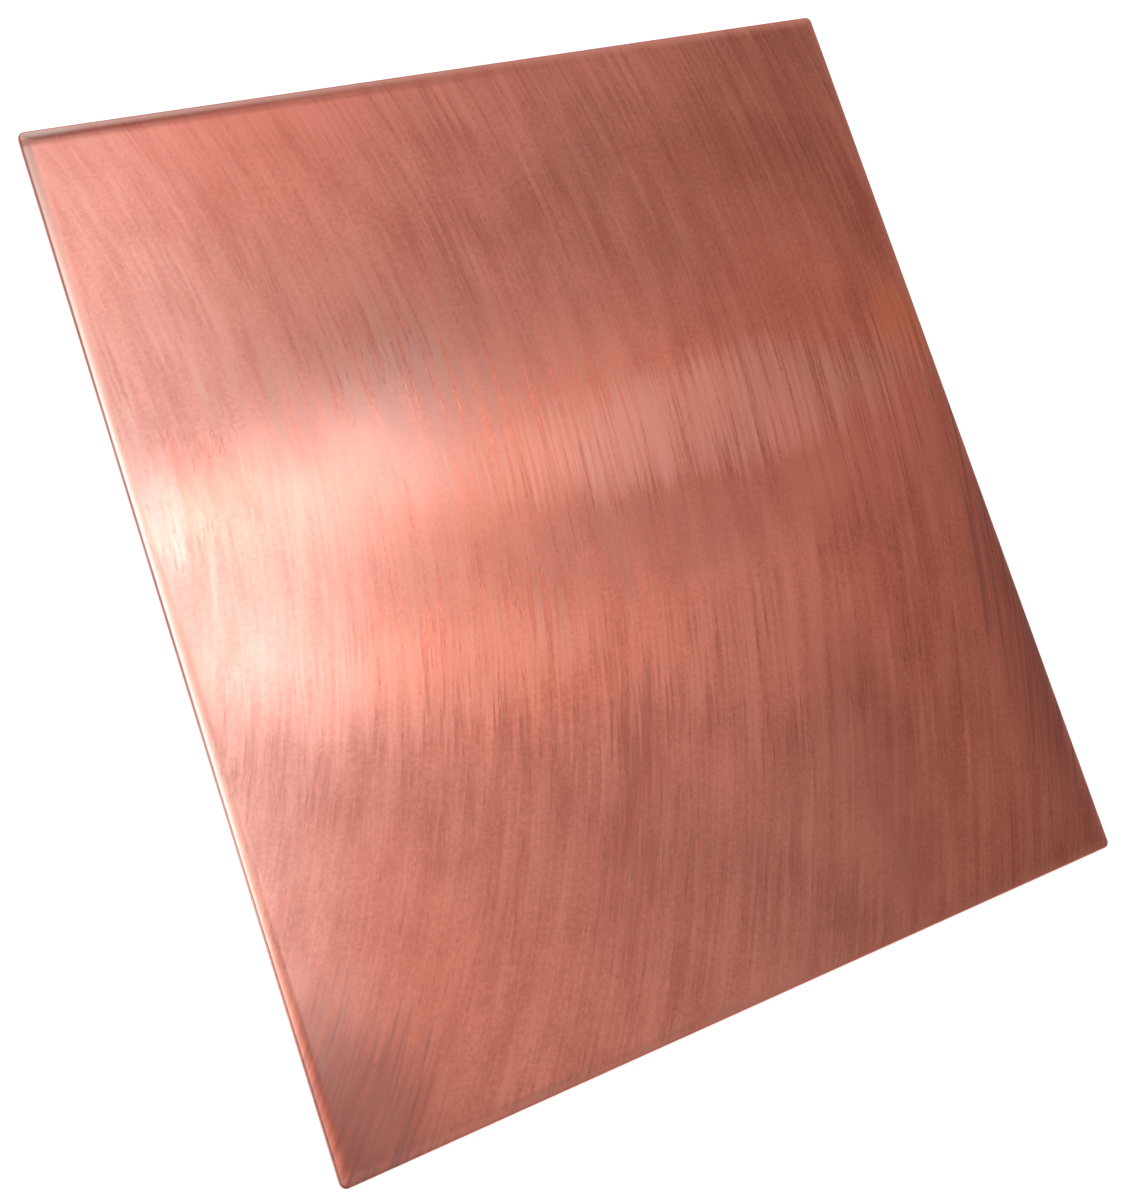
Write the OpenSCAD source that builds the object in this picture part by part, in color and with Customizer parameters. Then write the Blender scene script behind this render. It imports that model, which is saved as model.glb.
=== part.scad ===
// Flat copper plate, cut to size from rolled stock on a guillotine shear.
// It lies on its flat underside, centred on the origin, with +Z up and
// the brush strokes of its finish running along Y.
//
// Every cut edge has the section that a shear leaves. From the top down:
// a shallow roll-over that leaves the top face on an arc, an arris that
// was eased with a file, an upright land that the blade wiped smooth,
// a break that leans inward where the metal tore, and a small bevel where
// the burr was taken off.

/* [Plate] */
// Width of the plate, across the brush strokes
plate_w = 200; // [60:1:600]
// Length of the plate, along the brush strokes
plate_l = 225; // [60:1:600]
// Thickness of the stock
plate_t = 3; // [2.5:0.1:8]
// Radius that takes the point off each corner, seen from above
corner_r = 1.5; // [0.3:0.1:6]

/* [Sheared edge] */
// How far in from the edge the roll-over starts
rollover_w = 3; // [1.5:0.1:6]
// How far the roll-over falls over its whole width
rollover_drop = 0.35; // [0.1:0.05:0.6]
// Radius of the eased arris between the roll-over and the land
arris_r = 0.6; // [0.2:0.05:0.7]
// Height of the break, up from the underside
break_h = 1; // [0.5:0.05:1]
// How far the break leans in under the land
break_lean = 0.12; // [0.05:0.01:0.3]
// Bevel on the underside where the burr was taken off
burr_bevel = 0.2; // [0.1:0.05:0.4]

/* [Hidden] */
copper = [0.80, 0.47, 0.39];
corner_sides = 72;
rollover_steps = 6;
arris_steps = 8;

// The roll-over arc is tangent to the top face where it starts
rollover_r = (rollover_w * rollover_w + rollover_drop * rollover_drop) / (2 * rollover_drop);
// The arris arc touches the roll-over arc from inside, and the land from behind
arris_in = rollover_w - arris_r;
rollover_angle = asin(arris_in / (rollover_r - arris_r));
arris_z = plate_t - rollover_r + (rollover_r - arris_r) * cos(rollover_angle);

// Points on an arc, from the first angle to the last, without the first point
function arc_after(centre, radius, first, last, steps) =
    [for (step = [1 : steps])
        let (angle = first + (last - first) * step / steps)
            centre + radius * [cos(angle), sin(angle)]];

// Corners of the section at one cut edge, from the bevel up to the top face
function edge_points(half_span) = concat(
    [
        [half_span - break_lean - burr_bevel, 0],
        [half_span - break_lean, burr_bevel],
        [half_span, break_h],
        [half_span, arris_z],
    ],
    arc_after([half_span - arris_r, arris_z], arris_r,
              0, 90 - rollover_angle, arris_steps),
    arc_after([half_span - rollover_w, plate_t - rollover_r], rollover_r,
              90 - rollover_angle, 90, rollover_steps)
);

// The same corners on the opposite edge, from the top face down to the bevel
function opposite(points) =
    [for (i = [len(points) - 1 : -1 : 0]) [-points[i].x, points[i].y]];

// Bar along Y, with the sheared section on both of its long sides
module sheared_bar(span, run) {
    edge = edge_points(span / 2);
    rotate([90, 0, 0])
        linear_extrude(run, center = true)
            polygon(concat(edge, opposite(edge)));
}

// Outline of the plate from above, with its points eased
module outline() {
    square([plate_w - 2 * corner_r, plate_l], center = true);
    square([plate_w, plate_l - 2 * corner_r], center = true);
    for (side = [-1, 1], end = [-1, 1])
        translate([side * (plate_w / 2 - corner_r), end * (plate_l / 2 - corner_r)])
            circle(r = corner_r, $fn = corner_sides);
}

// The whole plate: one bar for each pair of edges, kept where both agree
module copper_plate() {
    color(copper)
        intersection() {
            sheared_bar(plate_w, plate_l);
            rotate([0, 0, 90])
                sheared_bar(plate_l, plate_w);
            linear_extrude(plate_t)
                outline();
        }
}

copper_plate();
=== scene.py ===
"""Looks of a hand-brushed copper plate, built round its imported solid.

The plate is one closed surface with the section that a shear leaves on every edge. Its top is brushed
in arcs, its cut faces are wiped smooth above and torn below, and its underside keeps the mill finish.
All lengths are in metres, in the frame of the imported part.
"""

import logging
import math
from dataclasses import dataclass, field
from enum import Enum
from typing import Any

import bpy
import numpy as np
from mathutils import Matrix, Vector


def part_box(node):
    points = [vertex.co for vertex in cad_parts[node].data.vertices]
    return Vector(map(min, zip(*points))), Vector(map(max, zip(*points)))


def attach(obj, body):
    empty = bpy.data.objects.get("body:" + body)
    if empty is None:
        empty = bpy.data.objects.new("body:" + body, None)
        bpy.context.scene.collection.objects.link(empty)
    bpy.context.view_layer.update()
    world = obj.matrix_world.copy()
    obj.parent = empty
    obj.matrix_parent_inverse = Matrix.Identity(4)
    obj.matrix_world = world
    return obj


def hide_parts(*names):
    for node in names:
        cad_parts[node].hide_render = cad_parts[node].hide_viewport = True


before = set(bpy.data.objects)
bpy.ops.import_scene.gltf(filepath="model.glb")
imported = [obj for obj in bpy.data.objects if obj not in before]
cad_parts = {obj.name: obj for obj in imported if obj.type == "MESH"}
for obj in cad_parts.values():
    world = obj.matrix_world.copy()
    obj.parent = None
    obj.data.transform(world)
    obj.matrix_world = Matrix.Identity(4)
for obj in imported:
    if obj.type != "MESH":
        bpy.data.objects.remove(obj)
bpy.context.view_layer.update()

NODE = "copper_plate"
MM = 0.001

log = logging.getLogger("copper_plate")

Colour = tuple[float, float, float]
Point = tuple[float, float, float]
Pair = tuple[float, float]

WHITE: Colour = (1.0, 1.0, 1.0)


class Finish(Enum):
    """Finishes of the plate, in the order of its material slots."""

    BRUSHED = 0
    CUT = 1
    MILL = 2


class Link:
    """A node's output, with arithmetic that adds Math nodes."""

    def __init__(self, tree: "Tree", socket: bpy.types.NodeSocket) -> None:
        """Holds the socket and the tree that it is in.

        Args:
            tree: The tree that new nodes go into.
            socket: The output that this object stands for.
        """
        self.tree = tree
        self.socket = socket

    def _math(self, operation: str, *values: Any) -> "Link":
        """Adds a Math node.

        Args:
            operation: The node's operation.
            values: Its inputs, in order, each a number or a Link.

        Returns:
            The node's result.
        """
        return self.tree.add("ShaderNodeMath", {"operation": operation}, dict(enumerate(values)))

    def __add__(self, other: Any) -> "Link":
        """This plus the other."""
        return self._math("ADD", self, other)

    def __radd__(self, other: Any) -> "Link":
        """The other plus this."""
        return self._math("ADD", other, self)

    def __sub__(self, other: Any) -> "Link":
        """This less the other."""
        return self._math("SUBTRACT", self, other)

    def __rsub__(self, other: Any) -> "Link":
        """The other less this."""
        return self._math("SUBTRACT", other, self)

    def __mul__(self, other: Any) -> "Link":
        """This times the other."""
        return self._math("MULTIPLY", self, other)

    def clamp(self) -> "Link":
        """This held between 0 and 1."""
        return self.tree.add("ShaderNodeClamp", {}, {"Value": self})

    def ramp(self, low: float, high: float) -> "Link":
        """Rises smoothly from 0 at low to 1 at high.

        Args:
            low: The value that gives 0.
            high: The value that gives 1.

        Returns:
            The smoothed value.
        """
        settings = {"interpolation_type": "SMOOTHSTEP"}
        sockets = {"Value": self, "From Min": low, "From Max": high}
        return self.tree.add("ShaderNodeMapRange", settings, sockets)

    def sine(self) -> "Link":
        """The sine of this, in radians."""
        return self._math("SINE", self)


class Tree:
    """A material's or world's node tree, filled through one method."""

    def __init__(self, owner: Any) -> None:
        """Empties the owner's node tree and takes it over.

        Args:
            owner: A material or world.
        """
        owner.use_nodes = True
        self.nodes = owner.node_tree.nodes
        self.links = owner.node_tree.links
        self.nodes.clear()

    def add(self, kind: str, settings: dict[str, Any], inputs: dict[Any, Any], output: Any = 0) -> Link:
        """Adds one node.

        Args:
            kind: The node's type, such as ShaderNodeMath.
            settings: What is set on the node before its sockets.
            inputs: The value or Link of each socket, by name or place.
            output: The name or place of the output that is returned.

        Returns:
            The node's output, or a Link without a socket where the node has no output.
        """
        node = self.nodes.new(kind)
        for name, value in settings.items():
            setattr(node, name, value)
        for name, value in inputs.items():
            socket = self._enabled(node, name)
            if isinstance(value, Link):
                self.links.new(value.socket, socket)
            else:
                socket.default_value = value
        if not node.outputs:
            return Link(self, None)
        if isinstance(output, str):
            chosen = [s for s in node.outputs if s.name == output and s.enabled][0]
        else:
            chosen = [s for s in node.outputs if s.enabled][output]
        return Link(self, chosen)

    @staticmethod
    def _enabled(node: bpy.types.Node, name: Any) -> bpy.types.NodeSocket:
        """The node's input of that name that is in use, or the input at that place."""
        if isinstance(name, int):
            return node.inputs[name]
        return [s for s in node.inputs if s.name == name and s.enabled][0]

    def mix(self, factor: Any, first: Any, second: Any) -> Link:
        """Mixes two colours.

        Args:
            factor: How much of the second shows, as a number or Link.
            first: A colour or Link.
            second: A colour or Link.

        Returns:
            The mixed colour.
        """
        sockets = {"Factor": factor, "A": _rgba(first), "B": _rgba(second)}
        return self.add("ShaderNodeMix", {"data_type": "RGBA"}, sockets, "Result")

    def vector(self, operation: str, *values: Any, output: Any = 0) -> Link:
        """Adds a Vector Math node.

        Args:
            operation: The node's operation.
            values: Its inputs, in order.
            output: The output that is returned.

        Returns:
            The node's result.
        """
        return self.add("ShaderNodeVectorMath", {"operation": operation}, dict(enumerate(values)), output)

    def combine(self, x: Any, y: Any, z: Any) -> Link:
        """A vector from its three parts."""
        return self.add("ShaderNodeCombineXYZ", {}, {"X": x, "Y": y, "Z": z})

    def split(self, vector: Link) -> tuple[Link, Link, Link]:
        """A vector's three parts, as Links."""
        node = self.add("ShaderNodeSeparateXYZ", {}, {"Vector": vector}).socket.node
        return tuple(Link(self, socket) for socket in node.outputs)

    def noise(
        self, place: Link, scale: float, detail: float = 2.0, roughness: float = 0.5, output: Any = 0
    ) -> Link:
        """Smooth noise about 0.5.

        Args:
            place: Where it is read.
            scale: Waves for each unit of place.
            detail: How many finer layers are added.
            roughness: How strong the finer layers are.
            output: The output that is returned, 0 for one value or Color for three.

        Returns:
            The noise, from about 0.2 to 0.8.
        """
        sockets = {"Vector": place, "Scale": scale, "Detail": detail, "Roughness": roughness}
        return self.add("ShaderNodeTexNoise", {}, sockets, output)


def _rgba(colour: Any) -> Any:
    """A colour of three numbers with an alpha of 1, or what was given where it is a Link."""
    if isinstance(colour, Link):
        return colour
    return (*colour, 1.0)


@dataclass(frozen=True)
class EdgeSection:
    """Section of a sheared edge, from the top face round to the underside."""

    rollover_width: float = 3.0 * MM
    rollover_drop: float = 0.35 * MM
    arris_radius: float = 0.6 * MM
    break_height: float = 1.0 * MM
    break_lean: float = 0.12 * MM
    burr_bevel: float = 0.2 * MM
    arris_steps: int = 10
    rollover_steps: int = 10

    @property
    def rollover_radius(self) -> float:
        """Radius of the arc that leaves the top face on a tangent."""
        width, drop = self.rollover_width, self.rollover_drop
        return (width**2 + drop**2) / (2 * drop)

    @property
    def meet_angle(self) -> float:
        """Angle from upright at which the roll-over passes into the arris, in radians."""
        reach = self.rollover_radius - self.arris_radius
        return math.asin((self.rollover_width - self.arris_radius) / reach)

    @property
    def arris_depth(self) -> float:
        """Depth of the arris arc's centre below the top face, which is where the land starts."""
        reach = (self.rollover_radius - self.arris_radius) * math.cos(self.meet_angle)
        return self.rollover_radius - reach

    @property
    def meet_inset(self) -> float:
        """How far in from the cut face the roll-over passes into the arris."""
        return self.rollover_width - self.rollover_radius * math.sin(self.meet_angle)

    def insets(self) -> np.ndarray:
        """Insets from the cut face at which the surface needs a row of points, from 0 inward.

        Returns:
            Rows at equal turns round the arris, r(1 - cos a), then at equal steps over the roll-over.
        """
        turns = np.linspace(0.0, math.pi / 2 - self.meet_angle, self.arris_steps + 1)
        arris = self.arris_radius * (1.0 - np.cos(turns))
        rollover = np.linspace(self.meet_inset, self.rollover_width, self.rollover_steps + 1)
        return np.concatenate([arris[:-1], rollover])

    def depth(self, inset: np.ndarray) -> np.ndarray:
        """Depth of the surface below the top face.

        Over the roll-over it is R - sqrt(R^2 - s^2), with s the distance out from its start. Over the
        arris it is the depth of the arris centre less sqrt(r^2 - (r - inset)^2).

        Args:
            inset: Distance in from the cut face.

        Returns:
            The depth, 0 on the flat top.
        """
        out = np.clip(self.rollover_width - inset, 0.0, self.rollover_width)
        rollover = self.rollover_radius - np.sqrt(self.rollover_radius**2 - out**2)
        across = np.clip(self.arris_radius - inset, 0.0, self.arris_radius)
        arris = self.arris_depth - np.sqrt(self.arris_radius**2 - across**2)
        return np.where(inset < self.meet_inset, arris, rollover)


@dataclass(frozen=True)
class StrokeArcs:
    """The arcs that the brush strokes follow, all about one centre far out to the left."""

    centre_x: float = -279.0 * MM
    centre_y: float = 45.0 * MM
    radius: float = 280.0 * MM

    def texture_space(self, mesh: bpy.types.Mesh) -> None:
        """Centres a mesh's own texture space on the arcs, so that its sheen runs along them.

        Args:
            mesh: The mesh whose untextured shaders take their direction from that space.
        """
        mesh.use_auto_texspace = False
        mesh.texspace_location = (self.centre_x, self.centre_y, 0.0)
        mesh.texspace_size = (self.radius, self.radius, self.radius)

    def place(self, tree: Tree, point: Link) -> tuple[Link, Link, Link]:
        """Coordinates that follow the arcs.

        Args:
            tree: The tree that the nodes go into.
            point: A point on the plate.

        Returns:
            Its distance from the centre, its distance along the arcs, and the direction along them.
        """
        x, y, _ = tree.split(tree.vector("SUBTRACT", point, (self.centre_x, self.centre_y, 0.0)))
        across = tree.add("ShaderNodeMath", {"operation": "SQRT"}, {0: x * x + y * y})
        turn = tree.add("ShaderNodeMath", {"operation": "ARCTAN2"}, {0: y, 1: x})
        along_direction = tree.vector("NORMALIZE", tree.combine(y * -1.0, x, 0.0))
        return across, turn * self.radius, along_direction


@dataclass(frozen=True)
class StrokeLayer:
    """Brush strokes of one size, as noise drawn out along the arcs."""

    width: float
    length: float
    seed: float
    slant: float = 0.0

    def noise(self, tree: Tree, across: Link, along: Link) -> Link:
        """The layer's pattern.

        Args:
            tree: The tree that the nodes go into.
            across: Distance across the arcs.
            along: Distance along the arcs.

        Returns:
            Noise about 0, read at (across + slant x along) / width and along / length.
        """
        leaned = across + along * self.slant
        place = tree.combine(leaned * (1.0 / self.width), along * (1.0 / self.length), self.seed)
        return tree.noise(place, scale=1.0, detail=1.0) - 0.5


@dataclass(frozen=True)
class Patch:
    """A soft-edged patch of the top."""

    x: float
    y: float
    half_width: float
    half_length: float
    strength: float

    def mask(self, x: Link, y: Link, lines: Link) -> Link:
        """How much of the patch shows, from its strength in the middle to 0 at its rim.

        Args:
            x: Places across.
            y: Places along.
            lines: The strokes, about 0, which break the rim up.

        Returns:
            The mask, which falls as a smooth step of one less the squared distance.
        """
        across = (x - self.x) * (1.0 / self.half_width)
        along = (y - self.y) * (1.0 / self.half_length)
        return (1.0 - across * across - along * along + lines).ramp(0.0, 1.0) * self.strength

    @staticmethod
    def together(patches: tuple["Patch", ...], x: Link, y: Link, lines: Link) -> Link:
        """The masks of several patches, added up."""
        masks = [patch.mask(x, y, lines) for patch in patches]
        return sum(masks[1:], masks[0])


@dataclass(frozen=True)
class Tint:
    """A colour that the top takes on in some patches."""

    colour: Colour
    streaks: float
    patches: tuple[Patch, ...]

    def over(self, tree: Tree, colour: Link, x: Link, y: Link, lines: Link) -> Link:
        """Lays the tint over a colour.

        Args:
            tree: The tree that the nodes go into.
            colour: The colour without the tint.
            x: Places across, roughened so that the patches are ragged.
            y: Places along, roughened alike.
            lines: The strokes, about 0, which break the tint up.

        Returns:
            The colour with the tint, by the sum of the patches times 1 + streaks x lines.
        """
        amount = Patch.together(self.patches, x, y, lines) * (1.0 + lines * self.streaks)
        return tree.mix(amount.clamp(), colour, self.colour)


@dataclass(frozen=True)
class RimHighlightAndShade:
    """Where the rim gets a painted highlight, and where it gets painted shade.

    Each pair gives the two places between which a smooth step rises. Those for the rim and the arris
    are distances in from the outline. The others are places across or along in the plate's frame.
    """

    rim: Pair = (0.5 * MM, 3.4 * MM)
    arris: Pair = (0.15 * MM, 0.75 * MM)
    arris_along: Pair = (-60.0 * MM, 10.0 * MM)
    arris_least: float = 0.3
    left_across: Pair = (86.0 * MM, 96.0 * MM)
    left_along: Pair = (-100.0 * MM, -20.0 * MM)
    lip_along: Pair = (110.5 * MM, 111.5 * MM)
    lip_across: Pair = (-110.0 * MM, 40.0 * MM)
    lip_strength: float = 0.7
    line_start: Pair = (108.4 * MM, 109.6 * MM)
    line_end: Pair = (110.2 * MM, 111.2 * MM)
    line_across: Pair = (-90.0 * MM, 90.0 * MM)
    line_strength: float = 0.6

    def rim_mask(self, inset: Link) -> Link:
        """1 at the outline, and 0 inside the roll-over."""
        return 1.0 - inset.ramp(*self.rim)

    def left_mask(self, x: Link, y: Link, inset: Link) -> Link:
        """The left rim's painted highlight, which fades out towards the front."""
        side = (x * -1.0).ramp(*self.left_across)
        return self.rim_mask(inset) * side * y.ramp(*self.left_along)

    def lip_mask(self, x: Link, y: Link) -> Link:
        """The back rim's lip with a painted highlight, which fades out to the right."""
        return y.ramp(*self.lip_along) * (1.0 - x.ramp(*self.lip_across)) * self.lip_strength

    def grime_mask(self, x: Link, y: Link, inset: Link) -> Link:
        """The dark line inside the back rim, a painted dark reflection, and the painted shade on the
        arris.
        """
        line = y.ramp(*self.line_start) * (1.0 - y.ramp(*self.line_end))
        line = line * (1.0 - x.ramp(*self.line_across)) * self.line_strength
        further_back = self.arris_least + y.ramp(*self.arris_along) * (1.0 - self.arris_least)
        return (line + (1.0 - inset.ramp(*self.arris)) * further_back).clamp()


@dataclass(frozen=True)
class Shares:
    """How strongly each pattern of the top changes one property of the metal."""

    gleam: float = 0.0
    swath: float = 0.0
    cloud: float = 0.0
    grain: float = 0.0

    def applied(self, start: Any, patterns: dict[str, Link]) -> Link:
        """Adds the patterns' shares.

        Args:
            start: The value without the patterns.
            patterns: Each pattern, under its share's name.

        Returns:
            The start plus each pattern times its share.
        """
        total = start
        for name, share in vars(self).items():
            if share:
                total = total + patterns[name] * share
        return total


@dataclass(frozen=True)
class BrushedCopper:
    """Bare copper brushed by hand, with fine arcs of bright and dark strokes."""

    fresh: Colour = (0.95, 0.243, 0.138)
    tarnished: Colour = (0.69, 0.146, 0.079)
    # Pale colour of the painted highlight on the left rim and the back lip.
    worn: Colour = (1.0, 0.60, 0.50)
    # Dark colour of the painted shade on the arris and inside the back rim.
    grimy: Colour = (0.42, 0.095, 0.065)
    roughness: float = 0.29
    anisotropy: float = 0.89
    quarter_turn: float = 0.25
    film_weight: float = 0.52
    film_roughness: float = 0.22
    film_ior: float = 3.2
    stroke_tilt: float = 0.011
    relief_height: float = 0.003 * MM
    ragged_scale: float = 60.0
    ragged_reach: float = 0.014
    arcs: StrokeArcs = field(default_factory=StrokeArcs)
    wear: RimHighlightAndShade = field(default_factory=RimHighlightAndShade)
    hair: StrokeLayer = StrokeLayer(0.45 * MM, 20.0 * MM, 1.7)
    stroke: StrokeLayer = StrokeLayer(0.9 * MM, 40.0 * MM, 5.3)
    crossing: StrokeLayer = StrokeLayer(0.8 * MM, 35.0 * MM, 7.9, slant=0.06)
    counter: StrokeLayer = StrokeLayer(1.2 * MM, 50.0 * MM, 3.1, slant=-0.05)
    swath: StrokeLayer = StrokeLayer(5.0 * MM, 22.0 * MM, 9.1)
    tone_shares: Shares = Shares(gleam=0.2, swath=1.2, cloud=1.2, grain=1.3)
    film_shares: Shares = Shares(gleam=0.08, swath=0.2, cloud=0.2)
    polished: tuple[Patch, ...] = (
        Patch(-0.102, 0.028, 0.018, 0.034, 0.26),
        Patch(-0.036, 0.032, 0.024, 0.024, 0.34),
    )
    tints: tuple[Tint, ...] = (
        Tint((0.98, 0.245, 0.155), 1.0, (
            Patch(-0.060, 0.103, 0.060, 0.018, 0.30),
            Patch(-0.010, 0.109, 0.100, 0.012, 0.40),
            Patch(0.072, 0.004, 0.032, 0.024, 0.70),
        )),
        Tint((0.74, 0.242, 0.155), 1.0, (
            Patch(-0.028, 0.020, 0.060, 0.050, 0.45),
            Patch(-0.060, 0.062, 0.050, 0.024, 0.30),
        )),
        # Darker patches: the long one at the right edge is painted shade, the others darken the colour in
        # places.
        Tint((0.48, 0.100, 0.062), 1.5, (
            Patch(-0.099, -0.104, 0.028, 0.038, 0.70),
            Patch(0.112, -0.055, 0.028, 0.090, 0.90),
            Patch(0.045, -0.070, 0.014, 0.045, 0.25),
            Patch(0.022, -0.003, 0.050, 0.018, 0.30),
        )),
        # Orange painted highlight on the lower ridge of reflected light.
        Tint((1.0, 0.29, 0.165), 3.0, (
            Patch(0.018, -0.036, 0.040, 0.016, 0.20),
        )),
        Tint((1.0, 0.23, 0.095), 3.0, (
            Patch(0.093, 0.029, 0.013, 0.013, 0.60),
        )),
        # Pale painted highlight along the upper and lower ridges of reflected light.
        Tint((0.96, 0.36, 0.26), 1.0, (
            Patch(0.034, 0.018, 0.070, 0.017, 0.55),
            Patch(-0.045, -0.022, 0.045, 0.014, 0.25),
        )),
    )

    def ragged(self, tree: Tree, point: Link) -> tuple[Link, Link]:
        """Moves places about by smooth noise, so that patches read there have ragged rims.

        Args:
            tree: The tree that the nodes go into.
            point: A point on the plate.

        Returns:
            The moved places across and along.
        """
        noise = tree.noise(point, self.ragged_scale, detail=4.0, roughness=0.6, output="Color")
        shift = tree.vector("SUBTRACT", noise, (0.5, 0.5, 0.5))
        shift = tree.vector("MULTIPLY", shift, (self.ragged_reach,) * 3)
        x, y, _ = tree.split(tree.vector("ADD", point, shift))
        return x, y

    def leaned_normal(self, tree: Tree, direction: Link, tilt: Link, relief: Link) -> Link:
        """The surface's direction, leaned along the strokes and roughened.

        Args:
            tree: The tree that the nodes go into.
            direction: The direction along the strokes.
            tilt: How far it leans that way, in radians.
            relief: The fine relief.

        Returns:
            The direction for the shader.
        """
        upright = tree.add("ShaderNodeNewGeometry", {}, {}, "Normal")
        leaning = tree.vector("MULTIPLY", direction, tree.combine(tilt, tilt, tilt))
        leaned = tree.vector("NORMALIZE", tree.vector("ADD", upright, leaning))
        sockets = {"Strength": 1.0, "Distance": self.relief_height, "Height": relief, "Normal": leaned}
        return tree.add("ShaderNodeBump", {}, sockets)

    def material(self) -> bpy.types.Material:
        """Makes the finish.

        The strokes give a streak from -1 to 1. It tilts the surface along them, and its bright side,
        which is wider than its dark side, lightens the colour and the reflecting film.

        Returns:
            The material.
        """
        made = bpy.data.materials.new("brushed_copper")
        tree = Tree(made)
        point = tree.add("ShaderNodeTexCoord", {}, {}, "Object")
        inset = tree.add("ShaderNodeAttribute", {"attribute_name": "inset"}, {}, "Fac")
        across, along, direction = self.arcs.place(tree, point)
        hair, stroke, crossing, counter, swath = [
            layer.noise(tree, across, along)
            for layer in (self.hair, self.stroke, self.crossing, self.counter, self.swath)
        ]
        lines = stroke + crossing * 0.8 + counter * 0.8
        streak = (lines * 3.6 + hair * 4.0).sine()
        patterns = {
            "gleam": streak + streak * streak * 0.6 - 0.2,
            "swath": swath,
            "cloud": tree.noise(point, 30.0, detail=4.0, roughness=0.6) - 0.5,
            "grain": tree.noise(point, 1100.0, roughness=0.7) - 0.5,
        }
        x, y, _ = tree.split(point)
        rim = self.wear.rim_mask(inset)
        left = self.wear.left_mask(x, y, inset)
        painted_shade = self.wear.grime_mask(x, y, inset)

        # The roll-over is painted lighter towards the outline, a painted highlight.
        tone = self.tone_shares.applied(0.5 + rim * 0.6, patterns)
        colour = tree.mix(tone.clamp(), self.tarnished, self.fresh)
        ragged_x, ragged_y = self.ragged(tree, point)
        for tint in self.tints:
            colour = tint.over(tree, colour, ragged_x, ragged_y, lines)
        # Painted highlight on the left rim and the back lip.
        colour = tree.mix((left + self.wear.lip_mask(x, y)).clamp(), colour, self.worn)
        # Painted shade on the arris and a painted dark line inside the back rim.
        colour = tree.mix(painted_shade, colour, self.grimy)

        tilt = streak * (1.0 - rim) * self.stroke_tilt
        relief = hair * 0.4 + stroke * 0.6 + patterns["grain"] * 0.6
        polish = Patch.together(self.polished, x, y, lines) + left * 0.15
        film = self.film_shares.applied(self.film_weight + polish - painted_shade * 0.4, patterns)
        shader = tree.add("ShaderNodeBsdfPrincipled", {}, {
            "Base Color": colour,
            "Metallic": 1.0,
            "Roughness": self.roughness + lines * 0.06 + patterns["cloud"] * 0.1,
            "Anisotropic": self.anisotropy,
            "Anisotropic Rotation": self.quarter_turn,
            "Coat Weight": film.clamp(),
            "Coat Roughness": self.film_roughness,
            "Coat IOR": self.film_ior,
            "Normal": self.leaned_normal(tree, direction, tilt, relief),
        })
        tree.add("ShaderNodeOutputMaterial", {}, {"Surface": shader})
        return made


@dataclass(frozen=True)
class CutCopper:
    """The sheared face: a land wiped smooth by the blade over a torn, matt break."""

    land: Colour = (0.52, 0.185, 0.125)
    torn: Colour = (0.36, 0.125, 0.085)
    scored: Colour = (0.16, 0.045, 0.032)
    land_foot: float = 1.0 * MM
    foot_blur: float = 0.05 * MM
    foot_wobble: float = 0.5 * MM
    relief_height: float = 0.03 * MM

    def material(self) -> bpy.types.Material:
        """Makes the finish.

        Returns:
            The material.
        """
        made = bpy.data.materials.new("cut_copper")
        tree = Tree(made)
        point = tree.add("ShaderNodeTexCoord", {}, {}, "Object")
        x, y, z = tree.split(point)
        wobble = (tree.noise(tree.combine(x, y, 0.0), 400.0) - 0.5) * self.foot_wobble
        land = (z + wobble).ramp(self.land_foot - self.foot_blur, self.land_foot + self.foot_blur)
        wiped = tree.noise(tree.combine(x, y, z * 0.12), 5000.0, roughness=0.6)
        grain = tree.noise(point, 6500.0, detail=3.0, roughness=0.7)
        colour = tree.mix(land, self.torn, self.land)
        colour = tree.mix((wiped - 0.2) * 0.5, colour, self.scored)
        relief = wiped * land * 0.3 + grain * (1.0 - land)
        sockets = {"Strength": 1.0, "Distance": self.relief_height, "Height": relief}
        normal = tree.add("ShaderNodeBump", {}, sockets)
        shader = tree.add("ShaderNodeBsdfPrincipled", {}, {
            "Base Color": colour,
            "Metallic": 1.0,
            "Roughness": 0.62 - land * 0.25,
            "Normal": normal,
        })
        tree.add("ShaderNodeOutputMaterial", {}, {"Surface": shader})
        return made


@dataclass(frozen=True)
class MillCopper:
    """The underside as rolled, with faint rolling lines and a little tarnish."""

    bright: Colour = (0.52, 0.18, 0.12)
    dull: Colour = (0.34, 0.11, 0.075)
    roughness: float = 0.34
    rolling_scale: tuple[float, float, float] = (2200.0, 40.0, 1.0)
    relief_height: float = 0.003 * MM

    def material(self) -> bpy.types.Material:
        """Makes the finish.

        Returns:
            The material.
        """
        made = bpy.data.materials.new("mill_copper")
        tree = Tree(made)
        point = tree.add("ShaderNodeTexCoord", {}, {}, "Object")
        drawn_out = tree.vector("MULTIPLY", point, self.rolling_scale)
        rolled = tree.noise(drawn_out, 1.0, detail=3.0, roughness=0.6)
        cloud = tree.noise(point, 30.0, detail=4.0, roughness=0.6)
        colour = tree.mix((cloud * 1.4 - 0.3).clamp(), self.dull, self.bright)
        sockets = {"Strength": 1.0, "Distance": self.relief_height, "Height": rolled}
        normal = tree.add("ShaderNodeBump", {}, sockets)
        shader = tree.add("ShaderNodeBsdfPrincipled", {}, {
            "Base Color": colour,
            "Metallic": 1.0,
            "Roughness": self.roughness + (cloud - 0.5) * 0.2,
            "Normal": normal,
        })
        tree.add("ShaderNodeOutputMaterial", {}, {"Surface": shader})
        return made


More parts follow.
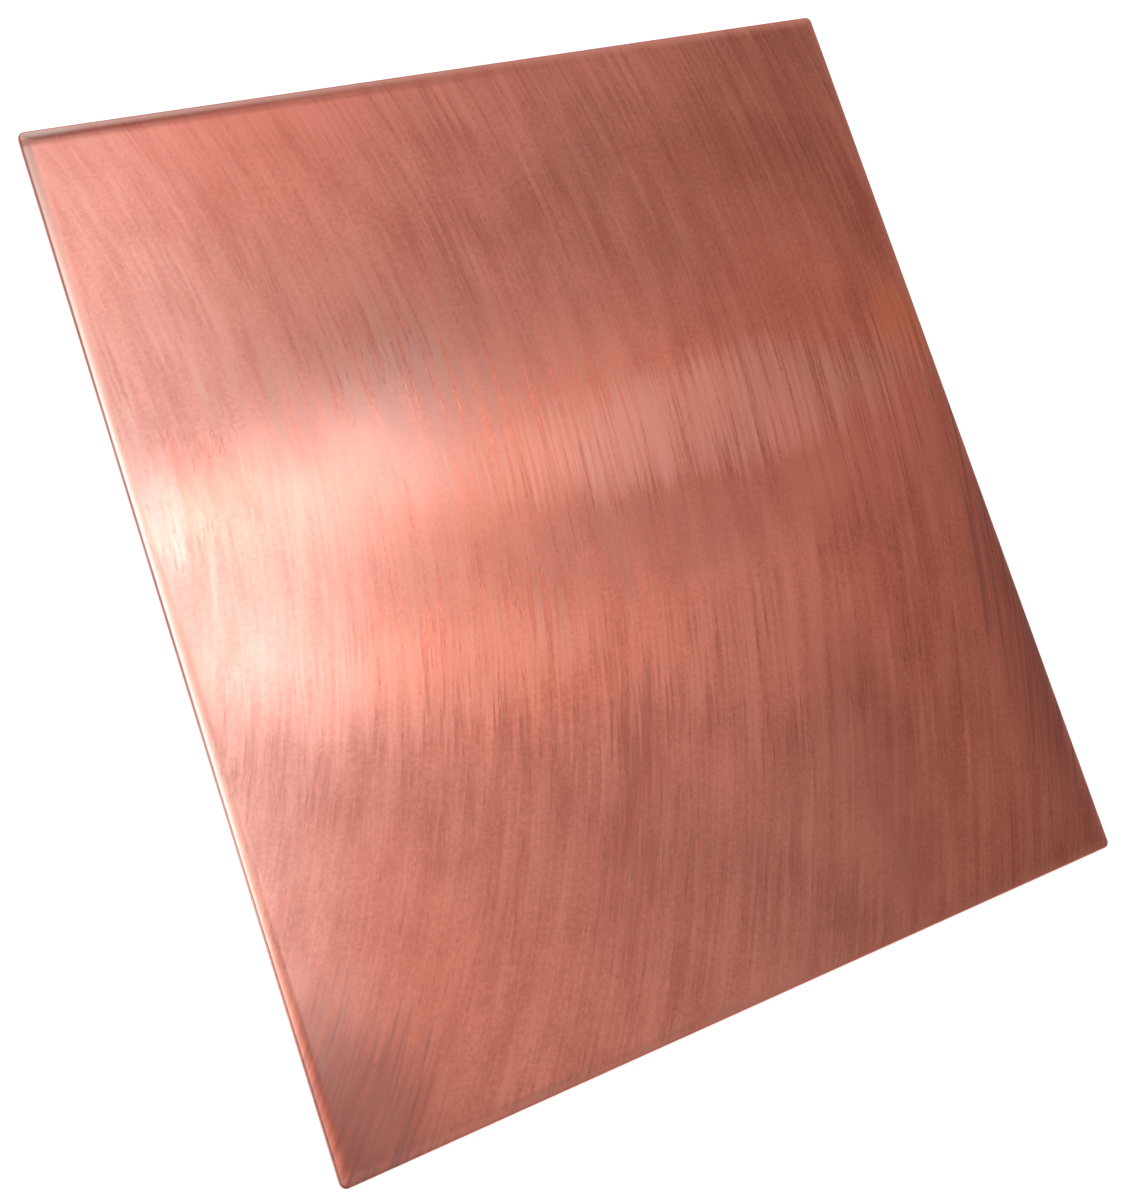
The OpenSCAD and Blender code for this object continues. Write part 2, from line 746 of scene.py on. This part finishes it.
@dataclass
class Plate:
    """The copper plate: one closed surface with its finishes."""

    low: Vector
    high: Vector
    corner_radius: float = 1.5 * MM
    section: EdgeSection = field(default_factory=EdgeSection)
    arcs: StrokeArcs = field(default_factory=StrokeArcs)
    cell: float = 2.5 * MM
    wave_depth: float = 0.06 * MM
    wave_fade: float = 10.0 * MM
    sharp_angle: float = 35.0

    @property
    def half(self) -> np.ndarray:
        """Half the width and half the length."""
        return np.array([self.high.x - self.low.x, self.high.y - self.low.y]) / 2

    def lines(self, half_span: float) -> np.ndarray:
        """Places of the grid's lines across one span.

        Args:
            half_span: Half the span, out to the cut face.

        Returns:
            The rows of both edges, a line where each rounded corner starts, and even lines between.
        """
        edge = half_span - np.append(self.section.insets(), self.corner_radius)
        inner = half_span - self.section.rollover_width
        count = max(2, round(2 * inner / self.cell))
        middle = np.linspace(-inner, inner, count + 1)
        return np.unique(np.round(np.concatenate([-edge, middle, edge]), 9))

    def outline(self, x: np.ndarray, y: np.ndarray) -> tuple[np.ndarray, np.ndarray, np.ndarray]:
        """Rounds the grid's corners.

        In the square of each corner, with a and b from 0 to 1 outward, a point goes to
        (a sqrt(1 - b^2 / 2), b sqrt(1 - a^2 / 2)) corner radii from the arc's centre.

        Args:
            x: Grid places across.
            y: Grid places along.

        Returns:
            The new places, and each one's distance in from the rounded outline.
        """
        radius = self.corner_radius
        start_x, start_y = self.half - radius
        a = (np.abs(x) - start_x) / radius
        b = (np.abs(y) - start_y) / radius
        corner = (a > 0) & (b > 0)
        a, b = np.where(corner, a, 0.0), np.where(corner, b, 0.0)
        out_x = a * np.sqrt(1.0 - b**2 / 2) * radius
        out_y = b * np.sqrt(1.0 - a**2 / 2) * radius
        new_x = np.where(corner, np.sign(x) * (start_x + out_x), x)
        new_y = np.where(corner, np.sign(y) * (start_y + out_y), y)
        straight = np.minimum(self.half[0] - np.abs(x), self.half[1] - np.abs(y))
        inset = np.where(corner, radius - np.hypot(out_x, out_y), straight)
        return new_x, new_y, np.maximum(inset, 0.0)

    def waves(self, x: np.ndarray, y: np.ndarray, inset: np.ndarray) -> np.ndarray:
        """How far rolling left the top below its highest level.

        It is a sum of long sine waves in three directions, scaled to lie between 0 and the wave
        depth, and it fades out over the last centimetre before the edge.

        Args:
            x: Places across.
            y: Places along.
            inset: Distances in from the outline.

        Returns:
            The depth of the waves.
        """
        waves = (
            np.sin(x / (21.0 * MM) + y / (47.0 * MM) + 0.6)
            + np.sin(x / (36.0 * MM) - y / (17.0 * MM) + 2.1)
            + np.sin(y / (29.0 * MM) + 4.0)
        )
        fade = np.clip(inset / self.wave_fade, 0.0, 1.0)
        return self.wave_depth * (0.5 + waves / 6.0) * fade * fade * (3.0 - 2.0 * fade)

    def surface(self) -> tuple[np.ndarray, np.ndarray, np.ndarray, np.ndarray]:
        """Works out the closed surface.

        The top and the underside are grids of the same shape. Between their rims run the land, the
        break and the bevel, one band of quads each.

        Returns:
            The points, the quads, each quad's finish, and each point's distance in from the outline.
        """
        x, y = np.meshgrid(self.lines(self.half[0]), self.lines(self.half[1]), indexing="ij")
        x, y, inset = self.outline(x, y)
        across, up = x.shape
        edge = self.section
        top_z = self.high.z - edge.depth(inset) - self.waves(x, y, inset)
        top = np.stack([x, y, top_z], -1)
        under = self.drawn_in(x, y, edge.break_lean + edge.burr_bevel, self.low.z)
        rim = self.rim(across, up)
        land_foot = self.drawn_in(x, y, 0.0, self.low.z + edge.break_height).reshape(-1, 3)[rim]
        break_foot = self.drawn_in(x, y, edge.break_lean, self.low.z + edge.burr_bevel).reshape(-1, 3)[rim]
        points = np.concatenate([top.reshape(-1, 3), land_foot, break_foot, under.reshape(-1, 3)])
        loops = len(rim)
        first_under = across * up + 2 * loops
        land_ring = across * up + np.arange(loops)
        rings = [rim, land_ring, land_ring + loops, first_under + rim]
        cells = self.cells(across, up)
        bands = np.concatenate([self.band(upper, lower) for upper, lower in zip(rings, rings[1:])])
        quads = np.concatenate([cells, bands, first_under + cells[:, ::-1]])
        finish = np.repeat(
            [Finish.BRUSHED.value, Finish.CUT.value, Finish.MILL.value],
            [len(cells), len(bands), len(cells)],
        )
        insets = np.concatenate([inset.ravel(), np.zeros(2 * loops), inset.ravel()])
        return points, quads, finish, insets

    def drawn_in(self, x: np.ndarray, y: np.ndarray, inset: float, level: float) -> np.ndarray:
        """The grid at one level, drawn in evenly so that its rim lies that far inside the outline."""
        scale = 1.0 - inset / self.half
        return np.stack([x * scale[0], y * scale[1], np.full_like(x, level)], -1)

    @staticmethod
    def rim(across: int, up: int) -> np.ndarray:
        """Indices of a grid's rim, anticlockwise seen from above."""
        index = np.arange(across * up).reshape(across, up)
        return np.concatenate([index[:-1, 0], index[-1, :-1], index[:0:-1, -1], index[0, :0:-1]])

    @staticmethod
    def cells(across: int, up: int) -> np.ndarray:
        """Quads of a grid, facing up."""
        index = np.arange(across * up).reshape(across, up)
        corners = [index[:-1, :-1], index[1:, :-1], index[1:, 1:], index[:-1, 1:]]
        return np.stack([c.ravel() for c in corners], -1)

    @staticmethod
    def band(upper: np.ndarray, lower: np.ndarray) -> np.ndarray:
        """Quads between two rims, facing outwards."""
        return np.stack([upper, lower, np.roll(lower, -1), np.roll(upper, -1)], -1)

    def build(self) -> bpy.types.Object:
        """Makes the plate's mesh and dresses it.

        Returns:
            The plate, at the origin.
        """
        points, quads, finish, insets = self.surface()
        mesh = bpy.data.meshes.new("brushed_plate")
        mesh.vertices.add(len(points))
        mesh.vertices.foreach_set("co", points.astype(np.float32).ravel())
        mesh.loops.add(quads.size)
        mesh.loops.foreach_set("vertex_index", quads.astype(np.int32).ravel())
        mesh.polygons.add(len(quads))
        mesh.polygons.foreach_set("loop_start", np.arange(0, quads.size, 4, dtype=np.int32))
        mesh.polygons.foreach_set("material_index", finish.astype(np.int32))
        mesh.attributes.new("inset", "FLOAT", "POINT").data.foreach_set("value", insets.astype(np.float32))
        mesh.update(calc_edges=True)
        mesh.validate()
        mesh.shade_smooth()
        mesh.set_sharp_from_angle(angle=math.radians(self.sharp_angle))
        self.arcs.texture_space(mesh)
        for finish_kind in (BrushedCopper(arcs=self.arcs), CutCopper(), MillCopper()):
            mesh.materials.append(finish_kind.material())
        plate = bpy.data.objects.new("brushed_plate", mesh)
        bpy.context.scene.collection.objects.link(plate)
        return plate


@dataclass(frozen=True)
class Photographer:
    """The camera, at the photograph's viewing angle."""

    position: Point = (-0.12384, -0.03295, 0.27940)
    aim: Point = (-0.02019, -0.00918, 0.00240)
    roll: float = 59.54
    focal_pixels: float = 1334.8
    centre_pixels: Pair = (542.6, 581.6)
    picture: tuple[int, int] = (1122, 1200)
    sensor: float = 36.0

    def build(self) -> None:
        """Makes the camera and gives it to the scene."""
        data = bpy.data.cameras.new("camera")
        long_side = max(self.picture)
        data.sensor_width = self.sensor
        data.lens = self.focal_pixels / long_side * self.sensor
        data.shift_x = (self.picture[0] / 2 - self.centre_pixels[0]) / long_side
        data.shift_y = (self.centre_pixels[1] - self.picture[1] / 2) / long_side
        data.clip_start = 0.01
        ahead = (Vector(self.aim) - Vector(self.position)).normalized()
        level_right = ahead.cross(Vector((0.0, 0.0, 1.0))).normalized()
        level_up = level_right.cross(ahead)
        turn = math.radians(self.roll)
        up = level_up * math.cos(turn) - level_right * math.sin(turn)
        right = ahead.cross(up)
        camera = bpy.data.objects.new("camera", data)
        turned = Matrix((right, up, -ahead)).transposed().to_4x4()
        camera.matrix_world = Matrix.Translation(self.position) @ turned
        bpy.context.scene.collection.objects.link(camera)
        bpy.context.scene.camera = camera


@dataclass(frozen=True)
class SoftLamp:
    """A rectangular lamp with an even glow, which faces straight down."""

    name: str
    place: Pair
    size: Pair
    radiance: float
    height: float = 1.503

    def build(self) -> None:
        """Makes the lamp, with the power that its radiance needs: radiance x pi x area."""
        data = bpy.data.lights.new(self.name, "AREA")
        data.shape = "RECTANGLE"
        data.size, data.size_y = self.size
        data.energy = self.radiance * math.pi * self.size[0] * self.size[1]
        lamp = bpy.data.objects.new(self.name, data)
        lamp.location = (*self.place, self.height)
        bpy.context.scene.collection.objects.link(lamp)


@dataclass(frozen=True)
class Studio:
    """The pale floor, the lamps and the light of the room."""

    floor_half: float = 4.0
    floor_drop: float = 0.2 * MM
    floor_colour: Colour = (0.93, 0.93, 0.93)
    backdrop_glow: float = 0.55
    glow_rise: Pair = (0.3, 2.6)
    wall_light: float = 0.9
    dark_wall_share: float = 0.2
    low_wall_share: float = 0.75
    ceiling_light: float = 0.06
    side_lean: float = 0.25
    side_rise: Pair = (0.1, 0.9)
    low_rise: Pair = (0.25, 0.50)
    ceiling_rise: Pair = (0.62, 0.86)
    lamps: tuple[SoftLamp, ...] = (
        SoftLamp("lamp_near", (0.020, -0.162), (0.06, 0.37), 8.3),
        SoftLamp("lamp_middle", (0.118, 0.122), (0.165, 0.05), 24.5),
        SoftLamp("lamp_strip", (0.120, 0.326), (0.46, 0.04), 17.8),
        SoftLamp("lamp_far", (0.030, 0.730), (0.30, 0.465), 2.05),
        SoftLamp("lamp_side", (0.555, 0.189), (0.74, 2.04), 0.28),
        SoftLamp("lamp_rim", (-1.00, 0.20), (0.90, 1.00), 3.4),
        SoftLamp("lamp_rim_back", (-0.95, 0.86), (0.80, 0.32), 1.3),
        SoftLamp("lamp_rim_low", (-0.95, -0.60), (0.90, 0.60), 0.9),
        SoftLamp("lamp_front", (0.10, -1.00), (1.60, 0.80), 0.35),
    )

    def build(self) -> None:
        """Makes the floor, the lamps and the world."""
        for lamp in self.lamps:
            lamp.build()
        self.floor()
        self.room()

    def room(self) -> None:
        """Makes the world: a dark ceiling, and walls that are brightest at the back.

        The camera sees plain white instead.
        """
        world = bpy.data.worlds.new("room")
        bpy.context.scene.world = world
        tree = Tree(world)
        x, y, height = tree.split(tree.add("ShaderNodeTexCoord", {}, {}, "Generated"))
        back = (y - x * self.side_lean).ramp(*self.side_rise)
        side = self.dark_wall_share + back * (1.0 - self.dark_wall_share)
        low = 1.0 - height.ramp(*self.low_rise)
        wall = (side + low * (self.low_wall_share - side)) * self.wall_light
        room = wall + height.ramp(*self.ceiling_rise) * (self.ceiling_light - wall)
        seen = tree.add("ShaderNodeLightPath", {}, {}, "Is Camera Ray")
        sockets = {"Color": _rgba(WHITE), "Strength": room * (1.0 - seen) + seen}
        glow = tree.add("ShaderNodeBackground", {}, sockets)
        tree.add("ShaderNodeOutputWorld", {}, {"Surface": glow})

    def floor(self) -> None:
        """Makes the floor, just below the plate's underside.

        It glows so that it looks white, more so further out, where the lamps light it less.
        """
        half, level = self.floor_half, -self.floor_drop
        corners = [(-half, -half, level), (half, -half, level), (half, half, level), (-half, half, level)]
        mesh = bpy.data.meshes.new("floor")
        mesh.from_pydata(corners, [], [(0, 1, 2, 3)])
        made = bpy.data.materials.new("pale_floor")
        tree = Tree(made)
        seen = tree.add("ShaderNodeLightPath", {}, {}, "Is Camera Ray")
        mirrored = tree.add("ShaderNodeLightPath", {}, {}, "Is Glossy Ray")
        place = tree.add("ShaderNodeTexCoord", {}, {}, "Object")
        distance = tree.vector("LENGTH", place, output="Value")
        glow = tree.mix(distance.ramp(*self.glow_rise), (self.backdrop_glow,) * 3, WHITE)
        shader = tree.add("ShaderNodeBsdfPrincipled", {}, {
            "Base Color": _rgba(self.floor_colour),
            "Roughness": 1.0,
            "Specular IOR Level": 0.0,
            "Emission Color": glow,
            "Emission Strength": (seen + mirrored).clamp(),
        })
        tree.add("ShaderNodeOutputMaterial", {}, {"Surface": shader})
        mesh.materials.append(made)
        floor = bpy.data.objects.new("floor", mesh)
        bpy.context.scene.collection.objects.link(floor)


def main() -> None:
    """Builds the studio, the camera and the plate, and reports the plate."""
    logging.basicConfig(level=logging.INFO, format="%(name)s: %(message)s")
    bpy.context.scene.view_settings.view_transform = "Standard"
    Photographer().build()
    Studio().build()
    low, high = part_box(NODE)
    plate = Plate(low, high).build()
    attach(plate, "root")
    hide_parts(NODE)
    log.info("%s: %d quads", plate.name, len(plate.data.polygons))


if __name__ == "__main__":
    main()
